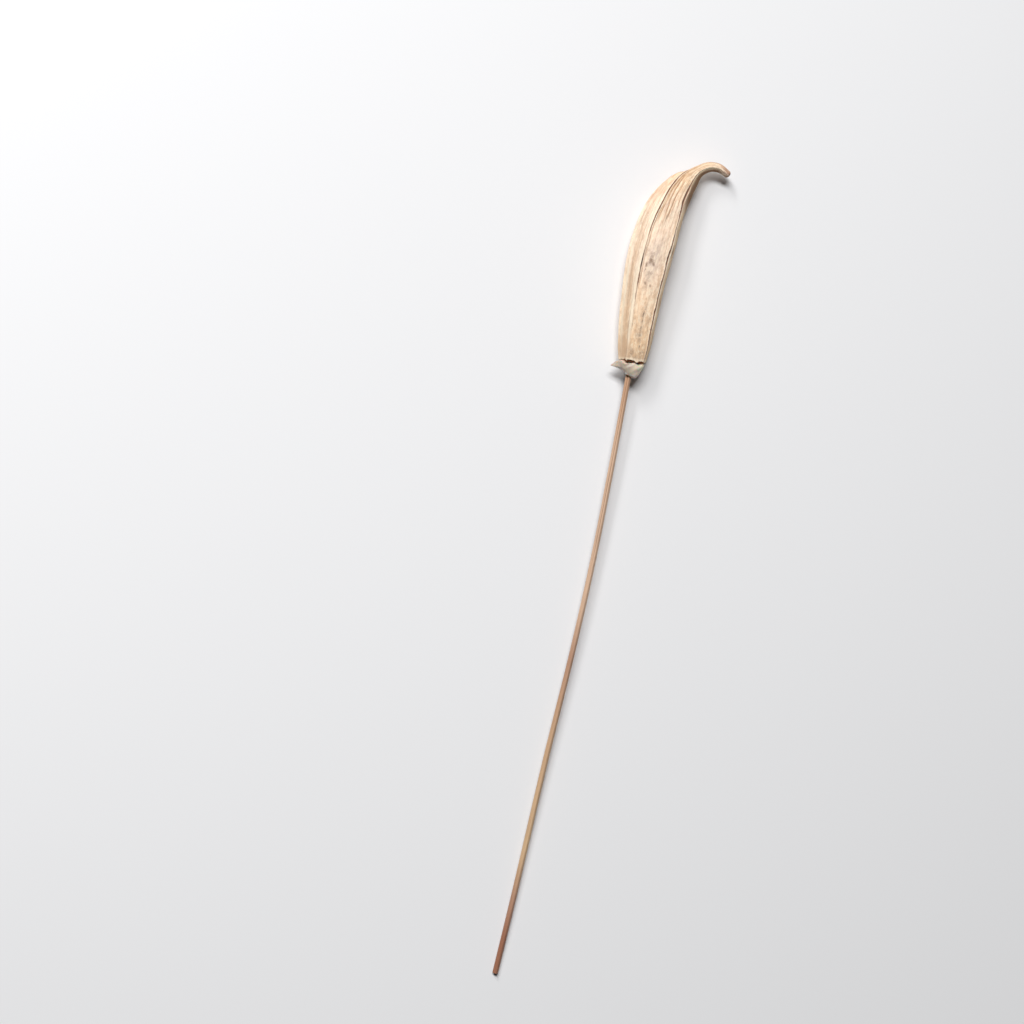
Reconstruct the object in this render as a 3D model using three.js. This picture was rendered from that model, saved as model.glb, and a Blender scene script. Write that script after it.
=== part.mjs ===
// A dried okra pod, glued on a split bamboo stick and lying on a flat surface.
// Millimetres, +Z up. The pod lies towards +Y, the stick towards -Y, and the beak hooks towards +X.
import * as THREE from "three";

// The middle of the pod's cut base. The origin is on the surface, under the middle of the whole object.
const BASE = new THREE.Vector3(9.95, 99.85, 8.2);

// The pod's axis from the cut base to the tip of the beak, measured from BASE.
const POD_AXIS = [
  [0.4, 0, 0],
  [3.5, 22, 0.5],
  [7.5, 43.7, 0.95],
  [10.3, 54.5, 1.1],
  [13.4, 65, 1.25],
  [17.7, 75.2, 1.3],
  [22.2, 82, 1.2],
  [27.2, 87.3, 0.6],
  [31.9, 91.2, 0],
  [36.9, 93.4, -0.6],
  [41.8, 92.8, -1],
  [45.9, 90, -1.4],
];
// How far the ridges stand from the axis, as [share of the axis, radius].
const POD_RADIUS = [
  [0, 6.9],
  [0.05, 8],
  [0.14, 9.1],
  [0.24, 9.9],
  [0.36, 10.8],
  [0.48, 11.3],
  [0.58, 10.8],
  [0.66, 9.8],
  [0.72, 8.5],
  [0.765, 7],
  [0.81, 5.1],
  [0.86, 3.1],
  [0.905, 2.5],
  [0.955, 2.15],
  [1, 1.75],
];
// How far the section has turned towards the outer side of the bend, as [share of the axis, degrees].
const POD_TWIST = [
  [0, 0],
  [0.62, 0],
  [0.7, 4],
  [0.76, 9],
  [0.81, 20],
  [0.87, 26],
  [1, 28],
];

// The five ridges round the section: 0 degrees points to the inner side of the bend, 90 degrees up.
// Each has two rounded lips with a crack between them, except the lowest, which is still closed.
// A ridge's height waves along the pod, and its angle turns near the base.
const RIDGES = [
  { angle: -174, crackWidth: 2.2, crackDepth: 0.9, baseTurn: 0, wave: 0.05, wavePhase: 0.4 },
  { angle: -101, crackWidth: 2.2, crackDepth: 0, baseTurn: 0, wave: 0.1, wavePhase: 2.1 },
  { angle: -27, crackWidth: 2.4, crackDepth: 1, baseTurn: 0, wave: 0.16, wavePhase: 3.9 },
  { angle: 50, crackWidth: 3.4, crackDepth: 1.6, baseTurn: 0, wave: 0.16, wavePhase: 5.2 },
  { angle: 113, crackWidth: 2.4, crackDepth: 1.5, baseTurn: 10, wave: 0.12, wavePhase: 1.3 },
];
// The panel that follows each ridge: how hollow its middle is, the depth of its folds near the beak,
// and how far it bulges at the shoulder where the beak begins.
const PANELS = [
  { valley: 0.5, folds: 0, shoulder: 0 },
  { valley: 0.3, folds: 0, shoulder: 0 },
  { valley: 0.5, folds: 0, shoulder: 0 },
  { valley: 0, folds: 0.4, shoulder: 0 },
  { valley: 0.55, folds: 0.25, shoulder: 0.9 },
];
const PANEL_CONVEXITY = 0.42;
const PANEL_STEPS = [0.27, 0.44, 0.6, 0.77];
const FOLD_STEPS = [0.44, 0.77];
const LIP_CREST_ANGLE = 6.5;
const LIP_FOOT_ANGLE = 13;
const LIP_HEIGHT = 0.035;
const LIP_EDGE_SINK = 0.005;
const CRACK_SINK = 0.02;
const CRACK_START = 0.06;
const CRACK_END = 0.93;
const BASE_TURN_END = 0.16;
const RIDGE_WAVES = 6.5;
const POD_STATIONS = 54;
const END_CROWDING = 0.055;
const TIP_RINGS = [
  [0.88, 0.5],
  [0.6, 0.95],
  [0.28, 1.2],
];

// The cut base: a ragged rim, a round scar just inside it, and the hole that the stick is pushed into.
const RIM_RAGGEDNESS = 0.35;
const SCAR_OUT = 0.7;
const SCAR_SHARE = 0.84;
const SOCKET_RADIUS = 1.8;
const SOCKET_END_GAP = 0.5;

// The stick's middle line from inside the pod to its far cut end, measured from BASE.
const STICK_LINE = [
  [1.3, 9.6, 0.22],
  [-0.5, 0, 0],
  [-9.3, -47.5, -1.1],
  [-18.7, -95.5, -2.2],
  [-28.4, -138.7, -3.2],
  [-41.8, -193, -4.5],
  [-57.1, -258.7, -5.95],
  [-65.9, -295.1, -6.92],
];
const STICK_WIDTH = 2.3;
const STICK_THICKNESS = 1.9;
const STICK_CHAMFER = 0.28;
const STICK_ROLL = 35;
const STICK_STATIONS = 40;

// The glue, as rings down the stick from the scar: distance down, reach to each side, and the tail's reach.
const GLUE_RINGS = [
  { down: 0, right: 6.1, up: 4.9, left: 5.8, lower: 4.6, tail: 3.4 },
  { down: 0.8, right: 6.4, up: 5, left: 6, lower: 4.7, tail: 4.6 },
  { down: 1.8, right: 6, up: 4.5, left: 5.2, lower: 4.4, tail: 2.8 },
  { down: 3.3, right: 5.1, up: 3.6, left: 3.9, lower: 3.5, tail: 0.5 },
  { down: 4.7, right: 4.3, up: 3, left: 3, lower: 2.9, tail: 0 },
  { down: 5.6, right: 3.4, up: 2.5, left: 2.4, lower: 2.5, tail: 0 },
];
const GLUE_TAIL_SPREAD = 17;
const GLUE_SLANT = 1.5;
const GLUE_SIDES = 32;
const TOUCH_GAP = 0.3;

const UP = new THREE.Vector3(0, 0, 1);
const { degToRad, clamp, lerp, smoothstep } = THREE.MathUtils;

// A smooth curve through [x, y] pairs, read off at any x.
function profile(pairs) {
  const slope = (i) => {
    const [x0, y0] = pairs[Math.max(i - 1, 0)];
    const [x1, y1] = pairs[Math.min(i + 1, pairs.length - 1)];
    return (y1 - y0) / (x1 - x0);
  };
  return (x) => {
    let i = 0;
    while (i < pairs.length - 2 && x > pairs[i + 1][0]) i += 1;
    const [x0, y0] = pairs[i];
    const [x1, y1] = pairs[i + 1];
    const t = clamp((x - x0) / (x1 - x0), 0, 1);
    const bend = t * (1 - t) * (x1 - x0);
    const ease = t * t * (3 - 2 * t);
    return lerp(y0, y1, ease) + bend * ((1 - t) * slope(i) - t * slope(i + 1));
  };
}

// A line through points measured from BASE.
function lineFromBase(points) {
  const placed = points.map((point) => new THREE.Vector3(...point).add(BASE));
  return new THREE.CatmullRomCurve3(placed, false, "centripetal");
}

// The place on a line at a share of its length: its middle, and the directions along, to the side and up.
function placeOn(line, share) {
  const middle = line.getPointAt(share);
  const along = line.getTangentAt(share);
  const side = new THREE.Vector3().crossVectors(along, UP).normalize();
  const up = new THREE.Vector3().crossVectors(side, along);
  return { middle, along, side, up };
}

// A point of a place's section, a distance from its middle at an angle, moved ahead along the line.
function sectionPoint(place, angle, distance, ahead = 0) {
  return place.middle
    .clone()
    .addScaledVector(place.side, distance * Math.cos(angle))
    .addScaledVector(place.up, distance * Math.sin(angle))
    .addScaledVector(place.along, ahead);
}

// A closed skin over rings of equally many points. Its ends are capped, or joined to each other.
function skin(rings, joined = false) {
  const sides = rings[0].length;
  const points = rings.flat();
  const faces = [];
  const lastRing = joined ? rings.length : rings.length - 1;
  for (let i = 0; i < lastRing; i += 1) {
    const here = i * sides;
    const ahead = ((i + 1) % rings.length) * sides;
    for (let j = 0; j < sides; j += 1) {
      const next = (j + 1) % sides;
      faces.push(here + j, ahead + j, ahead + next);
      faces.push(here + j, ahead + next, here + next);
    }
  }
  if (!joined) {
    const middleOf = (ring) => ring.reduce((sum, p) => sum.add(p), new THREE.Vector3()).divideScalar(sides);
    const first = points.push(middleOf(rings[0])) - 1;
    const last = points.push(middleOf(rings.at(-1))) - 1;
    const lastStart = (rings.length - 1) * sides;
    for (let j = 0; j < sides; j += 1) {
      const next = (j + 1) % sides;
      faces.push(first, j, next);
      faces.push(lastStart + j, last, lastStart + next);
    }
  }
  const geometry = new THREE.BufferGeometry().setFromPoints(points);
  geometry.setIndex(faces);
  geometry.computeVertexNormals();
  return geometry;
}

const podAxis = lineFromBase(POD_AXIS);
const podRadius = profile(POD_RADIUS);
const podTwist = profile(POD_TWIST);
const stickLine = lineFromBase(STICK_LINE);
const stickLength = stickLine.getLength();

// The stick's share of length where it leaves the pod's scar.
const insideLength = new THREE.Vector3(...STICK_LINE[0]).distanceTo(new THREE.Vector3(...STICK_LINE[1]));
const stickLeavesAt = (insideLength + SCAR_OUT) / stickLength;

// How open the cracks are along the pod: closed at the base and at the tip.
function crackOpening(share) {
  return smoothstep(share, CRACK_START, 0.25) * (1 - smoothstep(share, 0.6, CRACK_END));
}

// How deep the folds are along the pod: deepest just before the beak.
function foldStrength(share) {
  return smoothstep(share, 0.52, 0.72) * (1 - smoothstep(share, 0.8, 0.95));
}

// How far the shoulder stands out along the pod: it swells slowly and ends in a short step.
function shoulderStrength(share) {
  return smoothstep(share, 0.68, 0.775) * (1 - smoothstep(share, 0.79, 0.825));
}

// A ridge's angle at a share of the pod's axis.
function ridgeAngle(ridge, share) {
  const turn = ridge.baseTurn * (1 - smoothstep(share, 0, BASE_TURN_END));
  return degToRad(ridge.angle + podTwist(share) + turn);
}

// The pod's outline at a share of its axis, as [angle, distance] pairs all the way round.
function podOutline(share) {
  const radius = podRadius(share);
  const opening = crackOpening(share);
  const folds = foldStrength(share);
  const shoulder = shoulderStrength(share);
  const slimming = clamp(radius / 9, 0.25, 1);
  const lipOf = (ridge) => {
    const wave = Math.sin(2 * Math.PI * RIDGE_WAVES * share + ridge.wavePhase);
    return radius * (1 + LIP_HEIGHT) + ridge.wave * wave * slimming;
  };
  const outline = [];
  RIDGES.forEach((ridge, k) => {
    const nextRidge = RIDGES[(k + 1) % RIDGES.length];
    const start = ridgeAngle(ridge, share);
    let end = ridgeAngle(nextRidge, share);
    if (end < start) end += 2 * Math.PI;
    const half = (end - start) / 2;
    const wall = (angle) => {
      const flat = Math.cos(half) / Math.cos(angle - start - half);
      return radius * lerp(flat, 1, PANEL_CONVEXITY);
    };
    const lip = lipOf(ridge);
    const nextLip = lipOf(nextRidge);
    const crack = ridge.crackDepth * opening * slimming;
    outline.push([start, lip - CRACK_SINK * radius - crack]);
    outline.push([start + degToRad(ridge.crackWidth) / 2, lip - LIP_EDGE_SINK * radius]);
    outline.push([start + degToRad(LIP_CREST_ANGLE), lip]);
    outline.push([start + degToRad(LIP_FOOT_ANGLE), wall(start + degToRad(LIP_FOOT_ANGLE))]);
    for (const step of PANEL_STEPS) {
      const angle = lerp(start, end, step);
      const hollow = PANELS[k].valley * (1 - shoulder) - PANELS[k].shoulder * shoulder;
      const fold = FOLD_STEPS.includes(step) ? PANELS[k].folds * folds : 0;
      outline.push([angle, wall(angle) - (hollow * Math.sin(step * Math.PI) + fold) * slimming]);
    }
    outline.push([end - degToRad(LIP_FOOT_ANGLE), wall(end - degToRad(LIP_FOOT_ANGLE))]);
    outline.push([end - degToRad(LIP_CREST_ANGLE), nextLip]);
    outline.push([end - degToRad(nextRidge.crackWidth) / 2, nextLip - LIP_EDGE_SINK * radius]);
  });
  return outline;
}

// A point no lower than the surface that the pod lies on, where its lowest ridge is pressed flat.
function onOrAboveSurface(point) {
  point.z = Math.max(point.z, 0);
  return point;
}

function podGeometry() {
  const rings = [];
  const base = placeOn(podAxis, 0);
  const baseOutline = podOutline(0);

  // The socket follows the stick, whose line runs out of the pod, so its angles are the pod's mirrored.
  for (const [share, inward] of [
    [0, SOCKET_END_GAP],
    [stickLeavesAt / 2, 0],
    [stickLeavesAt, 0],
  ]) {
    const place = placeOn(stickLine, share);
    rings.push(baseOutline.map(([angle]) => sectionPoint(place, Math.PI - angle, SOCKET_RADIUS, -inward)));
  }

  // The scar's face and side, then the ragged rim that stands round it.
  const ragged = (angle) => {
    return RIM_RAGGEDNESS * (0.6 * Math.sin(5 * angle + 1) + 0.4 * Math.sin(11 * angle));
  };
  const endRing = (share, ahead, raggedness) => {
    rings.push(
      baseOutline.map(([angle, distance]) => {
        return sectionPoint(base, angle, distance * share, ahead + raggedness * ragged(angle));
      }),
    );
  };
  endRing(SCAR_SHARE * 0.95, -SCAR_OUT, 0);
  endRing(SCAR_SHARE, 0.2 - SCAR_OUT, 0);
  endRing(SCAR_SHARE, 0.5, 0);
  endRing(0.91, 0, 1);
  endRing(0.97, -0.2, 1);

  // The capsule itself, with stations closer together at both ends, then the rounded tip of the beak.
  for (let i = 0; i <= POD_STATIONS; i += 1) {
    const even = i / POD_STATIONS;
    const share = clamp(even - END_CROWDING * Math.sin(2 * Math.PI * even), 0, 1);
    const place = placeOn(podAxis, share);
    const raggedness = i === 0 ? 1 : 0;
    rings.push(
      podOutline(share).map(([angle, distance]) => {
        return onOrAboveSurface(sectionPoint(place, angle, distance, raggedness * ragged(angle)));
      }),
    );
  }
  const tip = placeOn(podAxis, 1);
  for (const [share, ahead] of TIP_RINGS) {
    rings.push(podOutline(1).map(([angle, distance]) => sectionPoint(tip, angle, distance * share, ahead)));
  }
  return skin(rings);
}

// The stick's section: a rectangle with its corners taken off, rolled so that an edge is on top.
function stickSection() {
  const x = STICK_WIDTH / 2;
  const y = STICK_THICKNESS / 2;
  const c = STICK_CHAMFER;
  const corners = [
    [x, c - y],
    [x, y - c],
    [x - c, y],
    [c - x, y],
    [-x, y - c],
    [-x, c - y],
    [c - x, -y],
    [x - c, -y],
  ];
  return corners.map(([u, v]) => [Math.atan2(v, u) + degToRad(STICK_ROLL), Math.hypot(u, v)]);
}

function stickGeometry() {
  const rings = [];
  for (let i = 0; i <= STICK_STATIONS; i += 1) {
    const place = placeOn(stickLine, i / STICK_STATIONS);
    rings.push(stickSection().map(([angle, distance]) => sectionPoint(place, angle, distance)));
  }
  return skin(rings);
}

// The glue's reach from the stick's middle at an angle: an oval that differs to each side, and the tail.
function glueReach(ring, angle) {
  const across = Math.cos(angle) > 0 ? ring.left : ring.right;
  const high = Math.sin(angle) > 0 ? ring.up : ring.lower;
  const oval = 1 / Math.hypot(Math.cos(angle) / across, Math.sin(angle) / high);
  const offTail = Math.atan2(Math.sin(angle), Math.cos(angle)) / degToRad(GLUE_TAIL_SPREAD);
  return oval + ring.tail * Math.exp(-offTail * offTail);
}

function glueGeometry() {
  const angles = Array.from({ length: GLUE_SIDES }, (_, j) => (j / GLUE_SIDES) * 2 * Math.PI);
  const top = placeOn(stickLine, stickLeavesAt + TOUCH_GAP / stickLength);
  const lowest = GLUE_RINGS.at(-1).down;
  const slant = (angle, down) => (GLUE_SLANT * (down / lowest) * (1 - Math.cos(angle))) / 2;
  const rings = GLUE_RINGS.map((ring) => {
    return angles.map((angle) => {
      return sectionPoint(top, angle, glueReach(ring, angle), ring.down + slant(angle, ring.down));
    });
  });
  rings.push(angles.map((angle) => sectionPoint(top, angle, SOCKET_RADIUS, lowest + slant(angle, lowest))));
  rings.push(angles.map((angle) => sectionPoint(top, angle, SOCKET_RADIUS)));
  return skin(rings, true);
}

function part(name, geometry, color, roughness) {
  const mesh = new THREE.Mesh(geometry, new THREE.MeshStandardMaterial({ color, roughness, metalness: 0 }));
  mesh.name = name;
  return mesh;
}

const okraPod = new THREE.Group();
okraPod.add(part("pod", podGeometry(), 0xddc7a4, 0.75));
okraPod.add(part("glue", glueGeometry(), 0xc8bfae, 0.35));
okraPod.add(part("stick", stickGeometry(), 0xc29870, 0.6));

export default okraPod;
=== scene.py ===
"""A dried okra pod on a split bamboo stick: the finish of every surface, on a pale stage."""

import math

import bpy
import numpy as np
from bpy.props import FloatProperty, FloatVectorProperty, IntProperty, PointerProperty
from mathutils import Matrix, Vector


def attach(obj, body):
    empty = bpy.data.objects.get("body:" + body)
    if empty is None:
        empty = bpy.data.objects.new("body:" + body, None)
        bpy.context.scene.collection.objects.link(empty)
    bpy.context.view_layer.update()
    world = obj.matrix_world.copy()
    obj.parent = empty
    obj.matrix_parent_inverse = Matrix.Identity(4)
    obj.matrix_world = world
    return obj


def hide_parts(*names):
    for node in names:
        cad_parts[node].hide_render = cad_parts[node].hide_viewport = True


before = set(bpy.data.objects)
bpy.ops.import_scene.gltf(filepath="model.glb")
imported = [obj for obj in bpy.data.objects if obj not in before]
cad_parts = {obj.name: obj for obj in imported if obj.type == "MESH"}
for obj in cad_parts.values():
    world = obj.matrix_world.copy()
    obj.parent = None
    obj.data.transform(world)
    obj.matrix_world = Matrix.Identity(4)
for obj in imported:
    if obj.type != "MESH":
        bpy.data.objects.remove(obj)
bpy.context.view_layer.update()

bl_info = {
    "name": "Dried okra pod",
    "version": (1, 0, 0),
    "blender": (4, 5, 0),
    "location": "3D View > Sidebar > Okra",
    "description": "Builds a dried okra pod, its glue and its bamboo stick round a fixed frame",
    "category": "Object",
}

MM = 0.001

# The middle of the pod's cut base, then the pod's axis and the stick's line measured from it, in mm.
BASE = (9.95, 99.85, 8.2)
POD_AXIS = (
    (0.4, 0, 0), (3.5, 22, 0.5), (7.5, 43.7, 0.95), (10.3, 54.5, 1.1), (13.4, 65, 1.25), (17.7, 75.2, 1.3),
    (22.2, 82, 1.2), (27.2, 87.3, 0.6), (31.9, 91.2, 0), (36.9, 93.2, -0.6), (41.8, 92.6, -1),
    (45.9, 89.8, -1.4),
)
STICK_LINE = (
    (1.3, 9.6, 0.22), (-0.5, 0, 0), (-9.3, -47.5, -1.1), (-18.7, -95.5, -2.2), (-28.4, -138.7, -3.2),
    (-41.8, -193, -4.5), (-57.1, -258.7, -5.95), (-65.9, -295.1, -6.92),
)
STICK_POINTS = 300
# How far the ridges stand from the axis, and how far the section has turned, along the pod.
POD_RADIUS = (
    (0, 6.9), (0.05, 8), (0.14, 9.1), (0.24, 9.9), (0.36, 10.8), (0.48, 11.3), (0.58, 10.8), (0.66, 9.8),
    (0.72, 8.5), (0.765, 7.15), (0.81, 5.3), (0.86, 3.2), (0.905, 2.65), (0.955, 2.3), (1, 1.85),
)
POD_TWIST = ((0, 0), (0.62, 0), (0.7, 4), (0.76, 9), (0.81, 20), (0.87, 26), (1, 28))
# How wide a crack gapes along the pod: on the hidden ridges, on the left one and on the right one.
PLAIN_GAPE = ((0, 0.3), (0.25, 1), (0.6, 1), (1, 0.2))
LEFT_GAPE = (
    (0, 0.02), (0.12, 0.06), (0.25, 0.2), (0.27, 0.3), (0.295, 0.18), (0.32, 0.32), (0.345, 0.4),
    (0.37, 0.22), (0.39, 0.5), (0.42, 0.4), (0.445, 0.28), (0.475, 0.2), (0.51, 0.24), (0.55, 0.46),
    (0.6, 0.52), (0.65, 0.6), (0.7, 0.64), (0.75, 0.52), (0.85, 0.35), (1, 0.3),
)
RIGHT_GAPE = (
    (0, 0.2), (0.08, 0.5), (0.14, 0.7), (0.24, 0.8), (0.31, 0.75), (0.36, 0.62), (0.4, 0.6), (0.43, 1),
    (0.47, 1.1), (0.5, 0.65), (0.53, 0.5), (0.58, 0.4), (0.62, 0.5), (0.66, 0.8), (0.7, 1.1), (0.75, 1.1),
    (0.8, 0.9), (0.88, 0.6), (1, 0.2),
)
# How many degrees the pale band beside a crack reaches, along the pod.
LEFT_PALE = ((0, 8), (0.05, 8), (0.13, 14), (0.19, 21), (0.3, 29), (0.44, 27), (0.6, 15), (0.8, 9), (1, 8))
PLAIN_PALE = ((0, 8), (1, 8))
NARROW_PALE = ((0, 5), (1, 5))

# The ridges round the section, each with its crack. On each side of a crack there is a lip: how far it
# reaches in degrees, how pale it is, and how far the pale band reaches. "before" is the side of the
# smaller angle, "after" that of the larger.
RIDGES = (
    {"angle": -174, "width": 0.5, "depth": 0.8, "gape": PLAIN_GAPE, "base_turn": 0, "wave": 0.05,
     "phase": 0.4, "before": (9, 0.6, PLAIN_PALE), "after": (7, 0.5, PLAIN_PALE)},
    {"angle": -101, "width": 0.4, "depth": 0.0, "gape": PLAIN_GAPE, "base_turn": 0, "wave": 0.1,
     "phase": 2.1, "before": (8, 0.5, PLAIN_PALE), "after": (8, 0.5, PLAIN_PALE)},
    {"angle": -27, "width": 0.6, "depth": 1.1, "gape": PLAIN_GAPE, "base_turn": 0, "wave": 0.16,
     "phase": 3.9, "before": (8, 0.6, PLAIN_PALE), "after": (8, 0.6, PLAIN_PALE)},
    {"angle": 45, "width": 1.6, "depth": 1.4, "gape": RIGHT_GAPE, "base_turn": 0, "wave": 0.16,
     "phase": 5.2, "before": (6, 0.4, NARROW_PALE), "after": (7, 0.8, PLAIN_PALE)},
    {"angle": 112, "width": 1.1, "depth": 1.6, "gape": LEFT_GAPE, "base_turn": 5, "wave": 0.12,
     "phase": 1.3, "before": (4, 0.5, NARROW_PALE), "after": (15, 1.0, LEFT_PALE)},
)
# The panel after each ridge, with its points across, how far it is hollowed, and how far it bulges at the
# neck, in mm. A fold has its place across the panel where it begins and where it ends, its depth in mm,
# its width as a share of the panel, and the shares of the pod's length of both ends.
PANELS = (
    {"points": 42, "valley": 0.5, "shoulder": 0, "folds": (
        (0.35, 0.35, 0.2, 0.04, 0.2, 0.8), (0.6, 0.55, 0.25, 0.05, 0.3, 0.85),
    )},
    {"points": 36, "valley": 0.3, "shoulder": 0, "folds": ((0.5, 0.5, 0.15, 0.05, 0.3, 0.8),)},
    {"points": 60, "valley": 0.25, "shoulder": 0, "folds": (
        (0.4, 0.45, 0.25, 0.04, 0.2, 0.85), (0.74, 0.72, -0.55, 0.15, 0.03, 0.74),
    )},
    {"points": 76, "valley": 0.0, "shoulder": 0, "folds": (
        (0.08, 0.09, 0.3, 0.012, 0.5, 0.84), (0.2, 0.3, 0.3, 0.012, 0.55, 1.0),
        (0.3, 0.22, 0.25, 0.018, 0.66, 1.04), (0.44, 0.62, 0.35, 0.013, 0.48, 0.92),
        (0.56, 0.42, 0.5, 0.02, 0.5, 1.04), (0.58, 0.92, 0.45, 0.02, 0.5, 1.02),
        (0.66, 0.76, 0.35, 0.013, 0.5, 0.95), (0.72, 0.78, 0.3, 0.014, 0.55, 0.8),
        (0.84, 0.9, 0.45, 0.026, 0.55, 0.97), (0.94, 0.92, 0.35, 0.013, 0.24, 0.68),
    )},
    {"points": 56, "valley": 0.55, "shoulder": 0.9, "folds": (
        (0.36, 0.3, 0.2, 0.025, 0.08, 0.6), (0.16, 0.16, 0.15, 0.015, 0.02, 0.25),
        (0.55, 0.62, 0.2, 0.03, 0.2, 0.8), (0.46, 0.5, 0.15, 0.02, 0.3, 0.7),
    )},
)
# Grey-brown smudges: share of the length, turn round the pod in degrees, reach of both, strength.
SMUDGES = (
    (0.425, 92, 0.035, 20, 0.75), (0.45, 88, 0.05, 26, 0.4), (0.32, 86, 0.03, 18, 0.5),
    (0.2, 80, 0.05, 11, 0.8), (0.15, 88, 0.07, 28, 0.45), (0.1, 80, 0.06, 12, 0.45),
    (0.015, 85, 0.04, 60, 0.6), (0.03, 106, 0.03, 16, 0.9), (0.045, 60, 0.035, 14, 1),
    (0.03, 150, 0.06, 30, 0.5),
)
# Small dark specks: share of the length, turn in degrees, half their length and width, strength.
SPECKS = (
    (0.419, 90, 0.014, 5, 0.6), (0.398, 100, 0.013, 5, 0.75), (0.405, 80, 0.011, 4, 0.7),
    (0.3215, 93, 0.01, 5, 0.7), (0.315, 77, 0.008, 4, 0.6), (0.41, 88, 0.02, 13, 0.35),
    (0.36, 86, 0.03, 14, 0.35), (0.1, 84, 0.03, 12, 0.3), (0.222, 77, 0.012, 4, 0.6),
    (0.185, 80.5, 0.032, 3.5, 0.8), (0.134, 82, 0.012, 4.5, 0.8), (0.0583, 77, 0.01, 4, 0.85),
    (0.37, 146, 0.012, 4, 0.4),
)
# How round a panel is, and how far the lips stand out as a share of the radius.
PANEL_CONVEXITY = 0.42
LIP_HEIGHT = 0.035
LIP_POWER = 1.3
# The pale edge beside a crack, in mm.
EDGE_WIDTH = 0.42
# A notch in the hidden right ridge, in mm, and where the left ridge leans back towards the right one, in
# degrees, just before the neck.
NOTCH = {"ridge": -27, "share": 0.66, "spread": 0.011, "depth": 0.9}
LEAN = {"ridge": 112, "share": 0.67, "spread": 0.06, "turn": -4}
BASE_TURN_END = 0.16
# Shares of the pod's length over which a fold deepens and fades, and its depth where its mask is full.
FOLD_RISE = 0.14
FOLD_FADE = 0.08
FOLD_FULL_DEPTH = 0.4
# Waves of the ridges' height along the pod, the radius from which all detail is at full size, how much
# closer the rings are at both ends, and the rings that round the tip: share of its outline and mm ahead.
RIDGE_WAVES = 6.5
FULL_RADIUS = 9.0
END_CROWDING = 0.055
TIP_RINGS = ((0.97, 0.22), (0.88, 0.5), (0.76, 0.74), (0.6, 0.95), (0.42, 1.1), (0.2, 1.2))
# The heights above the floor in mm between which the skin goes from pressed smooth to wrinkled, the share
# of the length over which its wrinkles begin, and the radius from which they are at full height.
PRESSED_HEIGHTS = (0.05, 1.2)
WRINKLES_BEGIN = 0.03
WRINKLED_RADIUS = 6

RIM_RAGGEDNESS = 0.28
# A torn flap that hangs from the rim over the glue: turn and spread in degrees, reach in mm.
FLAP = {"turn": 76, "spread": 9, "reach": 1.3}
# Shares of the pod's length at which the torn edge and the rim's paleness have faded.
TORN_END = 0.01
RIM_END = 0.012
SCAR_OUT = 0.7
SCAR_SHARE = 0.84
SOCKET_RADIUS = 1.8
SOCKET_END_GAP = 0.5
# Rings of the scar from the socket outwards: share of the pod's outline, and mm ahead of the base.
SCAR_RINGS = ((0.5, -0.82), (0.7, -0.78), (0.8, -SCAR_OUT), (SCAR_SHARE, 0.2 - SCAR_OUT), (SCAR_SHARE, 0.5))
# Rings of the rim: share of the outline, mm ahead, how torn, and how much of the scar still shows.
RIM_RINGS = ((0.9, 0.3, 0.4, 0.6), (0.93, 0.1, 1, 0), (0.96, 0.0, 1, 0), (0.985, 0.02, 1, 0))
# The values on the pod's points that its finish reads, in the order in which pod_rings gives them.
FINISH_VALUES = ("lip", "edge", "crack", "fold", "scar", "rim", "skin", "turn")

# The glue down the stick from the scar, in mm, with its reach to each side and its tail's reach.
GLUE = {
    "down": (0, 0.9, 1.9, 2.7, 3.3, 3.8, 4.7, 5.6),
    "right": (6.1, 6.4, 6, 5.6, 5.2, 4.9, 4.3, 3.4),
    "up": (4.8, 4.8, 4.7, 4.5, 4.3, 4.1, 3.7, 3.1),
    "left": (5.5, 5.6, 5.2, 4.8, 4.4, 3.8, 2.5, 1.9),
    "lower": (4.6, 4.7, 4.4, 4, 3.6, 3.3, 2.8, 2.3),
    "tail": (0.4, 1.7, 3, 4.2, 5.1, 1.6, 0.1, 0),
}
GLUE_STEPS = 34
# How far the rounded top of the glue stands above the scar's edge, and how far it draws in there.
GLUE_LIP = 0.3
GLUE_INSET = 0.9
# The rings that close the glue on the stick: reach, and mm past its top or its foot.
GLUE_TOP_RING = (1.6, 0.3)
GLUE_FOOT_RINGS = ((2.2, 0.25), (1.35, 0.1))
GLUE_TAIL_SPREAD = math.radians(17)
# How square the glue's section is: 2 is an oval, more is flatter on top.
GLUE_SQUARENESS = 3.2
GLUE_SLANT = 1.5
# Gaps between the glue's top edge and the rim: middle and spread in degrees, and depth in mm. They have
# closed again this far down the film.
GLUE_GAPS = ((58, 14, 1.1), (84, 20, 0.8), (133, 13, 1.2), (-90, 60, 0.5))
GLUE_GAPS_END = 3.5

# Tints that each channel of the skin is multiplied by, in places and all over. The flank's tint is painted
# shade beside the left crack.
FLANK_SHADE_TINT = (0.76, 0.7, 0.62)
ROSY_TINT = (0.98, 0.87, 0.84)
SADDLE_TINT = (0.84, 0.82, 0.8)
WARM_TINT = (1.04, 1.02, 1.0)
BAMBOO_START = (0.42, 0.2, 0.09)
SKY_COLOUR = (0.96, 0.98, 1.0, 1)
FLOOR_HALF = 1500.0


def smoothstep(x, low, high):
    t = np.clip((x - low) / (high - low), 0, 1)
    return t * t * (3 - 2 * t)


def lerp(a, b, t):
    return a + (b - a) * t


def hump(x, spread):
    """1 where x is 0, falling smoothly towards 0 on both sides."""
    return np.exp(-((x / spread) ** 2))


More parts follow.
